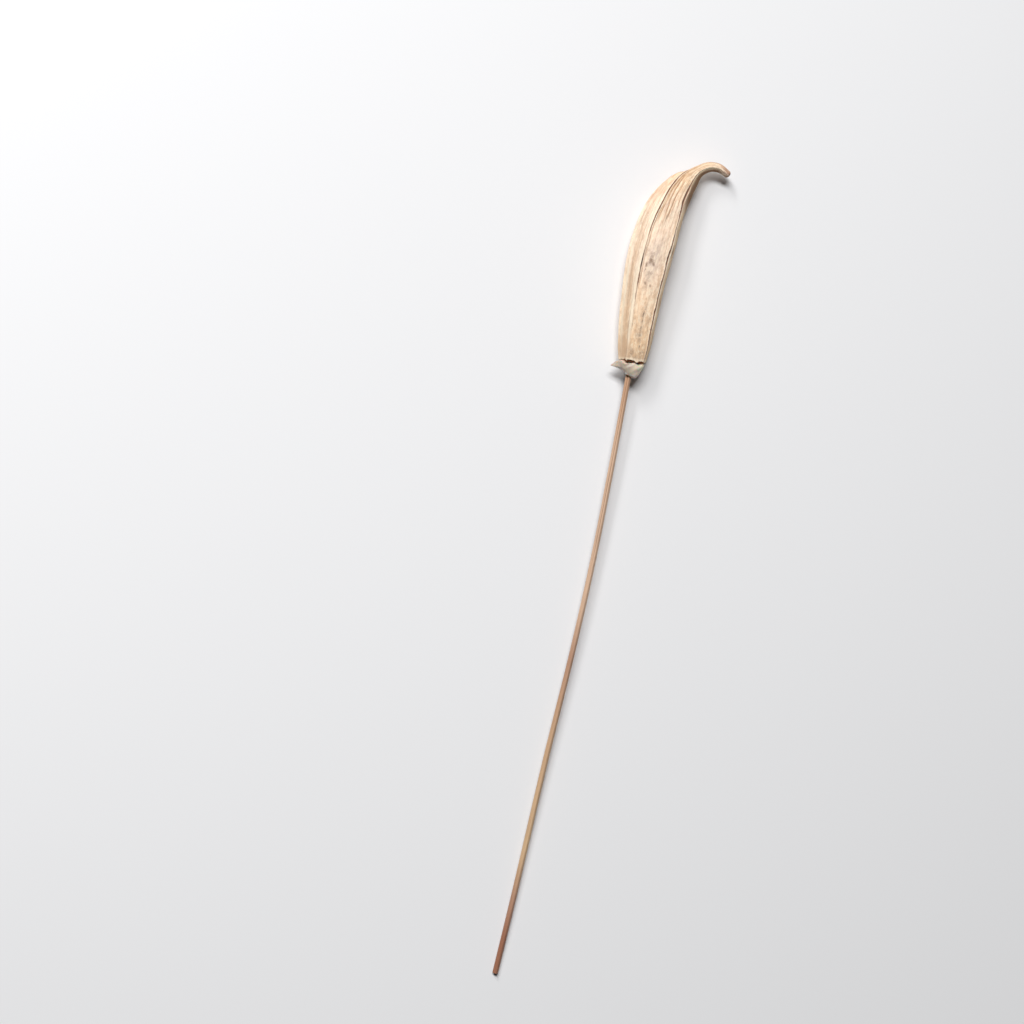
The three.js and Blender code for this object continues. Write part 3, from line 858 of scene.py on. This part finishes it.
def pod_rings(stations):
    """All rings of the pod from the socket's floor to the tip, with the values its finish reads."""
    rings, shares, values = [], [], []
    base = POD_LINE.at(0)
    angle, distance, lip, edge, crack, fold, turn = pod_outline(0.0)
    none = np.zeros_like(angle)

    def put(points, share, masks=(none,) * 4, scar=0.0, rim=0.0, skin=0.0, turn=turn):
        rings.append(points)
        shares.append(np.full(len(points), share))
        full = [np.broadcast_to(v, none.shape) for v in (*masks, scar, rim, skin)]
        values.append(np.column_stack(full + [np.degrees(turn)]))

    for at, inward in ((0, SOCKET_END_GAP), (STICK_LEAVES_AT / 2, 0), (STICK_LEAVES_AT, 0)):
        mouth = section(STICK_PATH.at(at), math.pi - angle, SOCKET_RADIUS, -inward)
        put(mouth, 0.0, scar=1.0)
    for part, ahead in SCAR_RINGS:
        put(section(base, angle, distance * part, ahead), 0.0, scar=1.0)
    for part, ahead, tear, scar in RIM_RINGS:
        put(section(base, angle, distance * part, ahead + tear * torn(angle)), 0.0, rim=1.0, scar=scar)

    for i in range(stations + 1):
        even = i / stations
        share = min(max(even - END_CROWDING * math.sin(2 * math.pi * even), 0), 1)
        angle, distance, lip, edge, crack, fold, turn = pod_outline(share)
        tear = max(0, 1 - share / TORN_END)
        points = section(POD_LINE.at(share), angle, distance, tear * torn(angle))
        points[:, 2] = np.maximum(points[:, 2], 0)
        rim = max(0, 1 - share / RIM_END)
        free = smoothstep(points[:, 2], *PRESSED_HEIGHTS)
        thick = min(1, profile(POD_RADIUS, share) / WRINKLED_RADIUS)
        skin = free * smoothstep(share, 0, WRINKLES_BEGIN) * thick
        put(points, share, (lip, edge, crack, fold), rim=rim, skin=skin * (1 - crack), turn=turn)
    tip = POD_LINE.at(1)
    for part, ahead in TIP_RINGS:
        put(section(tip, angle, distance * part, ahead), 1.0, (lip * 0.5, none, none, none), turn=turn)
    return rings, shares, values


def straightened(share, turn, radius):
    """Where each point would lie if the pod were straight, in metres: what the fibres follow."""
    across = np.column_stack([np.cos(np.radians(turn)), np.sin(np.radians(turn))]) * radius[:, None]
    return np.column_stack([across, share * POD_LINE.length]) * MM


def count_property(label, description, default, least):
    return IntProperty(name=label, description=description, default=default, min=least)


def number_property(label, description, default, unit="LENGTH"):
    return FloatProperty(name=label, description=description, default=default, unit=unit)


def colour_property(label, description, default):
    return FloatVectorProperty(name=label, description=description, subtype="COLOR", size=3, default=default)


def place_property(label, description, default):
    return FloatVectorProperty(name=label, description=description, subtype="TRANSLATION", default=default)


def sides_property(label, description, default):
    return FloatVectorProperty(name=label, description=description, size=2, default=default, unit="LENGTH")


class OkraSizes(bpy.types.PropertyGroup):
    """How finely the pieces are built, and how rough their surfaces are."""

    stations: count_property("Stations", "Rings along the pod", 340, 60)
    fibre_height: number_property("Fibre height", "How far the skin's fibres stand out", 0.00007)
    wrinkle_height: number_property("Wrinkle height", "Height of the lengthwise wrinkles", 0.00045)
    dent_height: number_property("Dent height", "Height of the soft dents in the panels", 0.0006)
    stick_width: number_property("Stick width", "Wide side", 0.0023)
    stick_thickness: number_property("Stick thickness", "Narrow side", 0.0019)
    stick_corner: number_property("Stick corner", "Corner radius", 0.0003)
    stick_roll: number_property("Stick roll", "How far the stick is rolled", math.radians(35), "ROTATION")
    glue_sides: count_property("Glue sides", "Points round each ring of glue", 120, 24)


class OkraColours(bpy.types.PropertyGroup):
    """The colours of the finishes."""

    skin: colour_property("Skin", "Panels in the middle of the pod", (1.0, 0.785, 0.615))
    skin_base: colour_property("Base skin", "Panels near the cut base", (0.9, 0.64, 0.41))
    # Laid in the folds as painted shade, and used for other dark brown marks.
    fold: colour_property("Folds", "Bottom of the folds", (0.42, 0.25, 0.15))
    lip: colour_property("Lips", "Pale lips of the ridges and the rim", (0.99, 0.86, 0.67))
    # Partly a painted highlight on the crack edges.
    edge: colour_property("Edges", "Thin edges of the cracks", (1.0, 0.93, 0.78))
    # Painted shade deep inside the open crack.
    crack: colour_property("Crack", "Inside of the open crack", (0.06, 0.04, 0.04))
    # Brown inside of the cracks, darkened as painted shade.
    groove: colour_property("Grooves", "Inside of the closed cracks", (0.28, 0.145, 0.095))
    hollow: colour_property("Hollow", "Shaded inner side of the neck and the beak", (0.28, 0.14, 0.065))
    side: colour_property("Side", "Yellowish strip on the pod's side", (0.95, 0.72, 0.47))
    stain: colour_property("Stains", "Grey-brown blotches", (0.4, 0.28, 0.2))
    haze: colour_property("Haze", "Pale grey haze in the middle of the pod", (0.74, 0.64, 0.59))
    fleck: colour_property("Flecks", "Small dark flecks", (0.2, 0.12, 0.08))
    green: colour_property("Green", "Greenish strip of the beak", (0.66, 0.62, 0.4))
    tip: colour_property("Tip", "Dry end of the beak", (0.33, 0.18, 0.13))
    scar: colour_property("Scar", "Scar where the cap was", (0.66, 0.28, 0.14))
    glue: colour_property("Glue", "Set hot glue", (0.6, 0.5, 0.4))
    # Painted light for the glue's shaded sides.
    glue_painted_light: colour_property("Thick glue", "Whiter glue on both its sides", (0.9, 0.79, 0.62))
    # Partly a painted highlight along the glue's thin edges.
    glue_edge_highlight: colour_property("Glue edge", "Thin edges of the glue", (0.8, 0.77, 0.68))
    bamboo: colour_property("Bamboo", "Stick near the pod", (0.65, 0.43, 0.29))
    bamboo_pale: colour_property("Pale bamboo", "Stick where it is palest", (0.65, 0.44, 0.25))
    bamboo_end: colour_property("Bamboo end", "Stick at its cut end", (0.33, 0.14, 0.08))


class OkraStage(bpy.types.PropertyGroup):
    """The camera and the lights."""

    view_width: number_property("View width", "Width of the floor that the camera sees", 0.4915)
    lens: FloatProperty(name="Lens", description="Focal length in mm", default=85)
    focus_height: number_property("Focus height", "Height at which the view width holds", 0.008)
    view_x: number_property("View X", "Where the camera looks, X", -0.0478)
    view_y: number_property("View Y", "Where the camera looks, Y", 0.0273)
    floor_colour: colour_property("Floor", "Pale floor", (0.8, 0.8, 0.81))
    window_place: place_property("Window place", "Middle of the window", (-0.07, 1.12, 1.8))
    window_aim: place_property("Window aim", "Point that the window faces", (-1.4, -1.5, 0))
    window_size: sides_property("Window size", "Width and length of the window", (1.2, 0.6))
    window_power: number_property("Window", "Power of the window", 50, "POWER")
    low_place: place_property("Low window place", "Middle of the low window", (-0.8, 2.0, 1.5))
    low_aim: place_property("Low window aim", "Point that the low window faces", (-2.5, 1.2, 0))
    low_size: sides_property("Low window size", "Its width and length", (1.0, 0.9))
    low_power: number_property("Low window", "Power of the low window", 60, "POWER")
    sky_strength: FloatProperty(name="Sky", description="Strength of the even light", default=0.03)


class OKRA_OT_stage(bpy.types.Operator):
    """Lays the pale floor and sets the camera and the lights"""

    bl_idname = "okra.stage"
    bl_label = "Stage"

    def execute(self, context):
        stage = context.scene.okra_stage
        self.lay_floor(stage)
        self.set_camera(context, stage)
        self.set_lights(context, stage)
        context.scene.view_settings.view_transform = "Standard"
        return {"FINISHED"}

    def lay_floor(self, stage):
        corners = [(x * FLOOR_HALF, y * FLOOR_HALF, 0) for x, y in ((-1, -1), (1, -1), (1, 1), (-1, 1))]
        floor = mesh_object("floor", corners, [(0, 1, 2, 3)])
        floor.data.materials.append(pale_paper(stage.floor_colour))

    def set_camera(self, context, stage):
        data = bpy.data.cameras.new("overhead camera")
        data.lens = stage.lens
        camera = bpy.data.objects.new("overhead camera", data)
        distance = stage.view_width * data.lens / data.sensor_width
        camera.location = (stage.view_x, stage.view_y, stage.focus_height + distance)
        context.scene.collection.objects.link(camera)
        context.scene.camera = camera

    def set_lights(self, context, stage):
        window = (stage.window_place, stage.window_aim, stage.window_size, stage.window_power)
        low_window = (stage.low_place, stage.low_aim, stage.low_size, stage.low_power)
        self.hang(context, "window", *window)
        self.hang(context, "low window", *low_window)
        world = bpy.data.worlds.new("even light")
        world.use_nodes = True
        background = world.node_tree.nodes["Background"]
        background.inputs["Color"].default_value = SKY_COLOUR
        background.inputs["Strength"].default_value = stage.sky_strength
        context.scene.world = world

    def hang(self, context, name, place, aim, size, power):
        data = bpy.data.lights.new(name, "AREA")
        data.shape = "RECTANGLE"
        data.size, data.size_y = size
        data.energy = power
        window = bpy.data.objects.new(name, data)
        window.location = place
        window.rotation_euler = (Vector(place) - Vector(aim)).to_track_quat("Z", "Y").to_euler()
        context.scene.collection.objects.link(window)


class OKRA_OT_pod(bpy.types.Operator):
    """Grows the okra capsule with its ridges, cracks, folds, beak and cut base"""

    bl_idname = "okra.pod"
    bl_label = "Pod"

    def execute(self, context):
        sizes, colours = context.scene.okra_sizes, context.scene.okra_colours
        rings, shares, values = pod_rings(sizes.stations)
        points = np.vstack(rings + [rings[0].mean(0), rings[-1].mean(0)])
        share = np.append(np.concatenate(shares), (0, 1))
        values = np.vstack(values + [values[0].mean(0), values[-1].mean(0)])
        attributes = dict(zip(FINISH_VALUES, values.T))
        attributes["share"] = share
        attributes["grown"] = straightened(share, attributes["turn"], profile(POD_RADIUS, share))
        faces = skin_faces(len(rings), len(rings[0]))
        pod = mesh_object("dried_pod", points, faces, attributes)
        heights = {
            "Fibre Height": sizes.fibre_height,
            "Wrinkle Height": sizes.wrinkle_height,
            "Dent Height": sizes.dent_height,
        }
        pod = grow(pod, wrinkle_tree(dried_skin(colours)), heights)
        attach(pod, "root")
        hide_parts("pod")
        return {"FINISHED"}


class OKRA_OT_glue(bpy.types.Operator):
    """Pours the glue round the stick, with its flat tail"""

    bl_idname = "okra.glue"
    bl_label = "Glue"

    def execute(self, context):
        sizes, colours = context.scene.okra_sizes, context.scene.okra_colours
        angle = np.linspace(0, 2 * math.pi, sizes.glue_sides, endpoint=False)
        top = STICK_PATH.at(STICK_LEAVES_AT)
        lowest = GLUE["down"][-1]
        slant = GLUE_SLANT * (1 - np.cos(angle)) / 2
        retreat = self.retreat(angle)
        none = np.zeros_like(angle)
        # thick carries the painted light that lightens the glue's shaded sides.
        rings, thin, thick = [section(top, angle, *GLUE_TOP_RING)], [none], [none]
        for down in np.linspace(-GLUE_LIP, lowest, GLUE_STEPS):
            inset = GLUE_INSET * math.sqrt(max(0, -down) / GLUE_LIP)
            reach = self.reach(angle, max(down, 0)) + self.folds(angle, down) - inset
            sunk = retreat * (1 - smoothstep(down, -GLUE_LIP, GLUE_GAPS_END))
            rings.append(section(top, angle, reach, down + sunk + slant * max(down, 0) / lowest))
            thin.append(self.thin(angle, down, lowest))
            thick.append(self.thick(angle, down))
        for reach, past in GLUE_FOOT_RINGS:
            rings.append(section(top, angle, reach, lowest + past + slant))
        thin += [np.ones_like(angle), none]
        thick += [none, none]
        faces = skin_faces(len(rings), sizes.glue_sides, joined=True)
        values = {"thin": np.concatenate(thin), "thick": np.concatenate(thick)}
        glue = mesh_object("glue_bead", np.vstack(rings), faces, values)
        glue.data.materials.append(set_glue(colours))
        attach(glue, "root")
        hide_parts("glue")
        return {"FINISHED"}

    def reach(self, angle, down):
        """The glue's reach from the stick: a squarish section, uneven to each side, and the tail."""
        left, right, up, lower, tail = (
            np.interp(down, GLUE["down"], GLUE[side]) for side in ("left", "right", "up", "lower", "tail")
        )
        across = np.cos(angle) / np.where(np.cos(angle) > 0, left, right)
        high = np.sin(angle) / np.where(np.sin(angle) > 0, up, lower)
        power = GLUE_SQUARENESS
        squarish = (np.abs(across) ** power + np.abs(high) ** power) ** (-1 / power)
        return squarish + tail * hump_round(angle, 0, GLUE_TAIL_SPREAD)

    def retreat(self, angle):
        """How far the glue's top edge stays back from the scar, in the dark gaps under the rim."""
        gaps = np.zeros_like(angle)
        for middle, spread, depth in GLUE_GAPS:
            gaps += depth * hump_round(angle, math.radians(middle), math.radians(spread))
        return gaps

    def folds(self, angle, down):
        """Low folds that run down the film, and lumps round it."""
        lumps = 0.12 * np.sin(3 * angle + 0.9 * down) + 0.05 * np.sin(7 * angle + 2 * down)
        return lumps + 0.08 * np.abs(np.sin(4.5 * angle + 0.5 * down))

    def thin(self, angle, down, lowest):
        """Where the film thins out and is painted paler, partly as a painted highlight: at the tail's edge, a
        little at its top, and at its foot.
        """
        tail_edge = hump_round(angle, 0, 0.6) * hump(down - 3.6, 0.3)
        top_edge = 1 - smoothstep(down, -GLUE_LIP, 0.6)
        low_edge = smoothstep(down, lowest - 0.9, lowest)
        return np.clip(tail_edge + 0.15 * top_edge + low_edge, 0, 1)

    def thick(self, angle, down):
        """Painted light: where the glue's colour is lightened to stand in for light on its shaded sides, most
        on its far side and less on its near side.
        """
        far_side = hump_round(angle, 2.4, 0.8) * (1 - 0.6 * smoothstep(down, 4.6, 5.6))
        return far_side + 0.5 * hump_round(angle, 0.75, 0.35) * smoothstep(down, 0.8, 2.2)


class OKRA_OT_stick(bpy.types.Operator):
    """Sweeps the split bamboo stick along its bowed line"""

    bl_idname = "okra.stick"
    bl_label = "Stick"

    def execute(self, context):
        sizes, colours = context.scene.okra_sizes, context.scene.okra_colours
        middle = STICK_PATH.at(np.linspace(0, 1, STICK_POINTS))[0] * MM
        curve = bpy.data.curves.new("bamboo_stick", "CURVE")
        curve.dimensions = "3D"
        spline = curve.splines.new("POLY")
        spline.points.add(STICK_POINTS - 1)
        spline.points.foreach_set("co", np.column_stack([middle, np.ones(STICK_POINTS)]).ravel())
        stick = bpy.data.objects.new("bamboo_stick", curve)
        context.scene.collection.objects.link(stick)
        values = {
            "Width": sizes.stick_width,
            "Thickness": sizes.stick_thickness,
            "Corner": sizes.stick_corner,
            "Roll": sizes.stick_roll,
        }
        stick = grow(stick, stick_tree(split_bamboo(colours)), values)
        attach(stick, "root")
        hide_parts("stick")
        return {"FINISHED"}


class OKRA_PT_panel(bpy.types.Panel):
    """Lists the pieces of the okra pod and their settings"""

    bl_label = "Dried okra pod"
    bl_idname = "OKRA_PT_panel"
    bl_space_type = "VIEW_3D"
    bl_region_type = "UI"
    bl_category = "Okra"

    def draw(self, context):
        for operator in OPERATORS:
            self.layout.operator(operator.bl_idname)
        for group in (context.scene.okra_sizes, context.scene.okra_colours, context.scene.okra_stage):
            box = self.layout.box()
            for name in group.__annotations__:
                box.prop(group, name)


OPERATORS = (OKRA_OT_stage, OKRA_OT_pod, OKRA_OT_glue, OKRA_OT_stick)
CLASSES = (OkraSizes, OkraColours, OkraStage) + OPERATORS + (OKRA_PT_panel,)


def register():
    for item in CLASSES:
        bpy.utils.register_class(item)
    bpy.types.Scene.okra_sizes = PointerProperty(type=OkraSizes)
    bpy.types.Scene.okra_colours = PointerProperty(type=OkraColours)
    bpy.types.Scene.okra_stage = PointerProperty(type=OkraStage)


def unregister():
    del bpy.types.Scene.okra_sizes
    del bpy.types.Scene.okra_colours
    del bpy.types.Scene.okra_stage
    for item in reversed(CLASSES):
        bpy.utils.unregister_class(item)


def main():
    register()
    bpy.ops.okra.stage()
    bpy.ops.okra.pod()
    bpy.ops.okra.glue()
    bpy.ops.okra.stick()


if __name__ == "__main__":
    main()
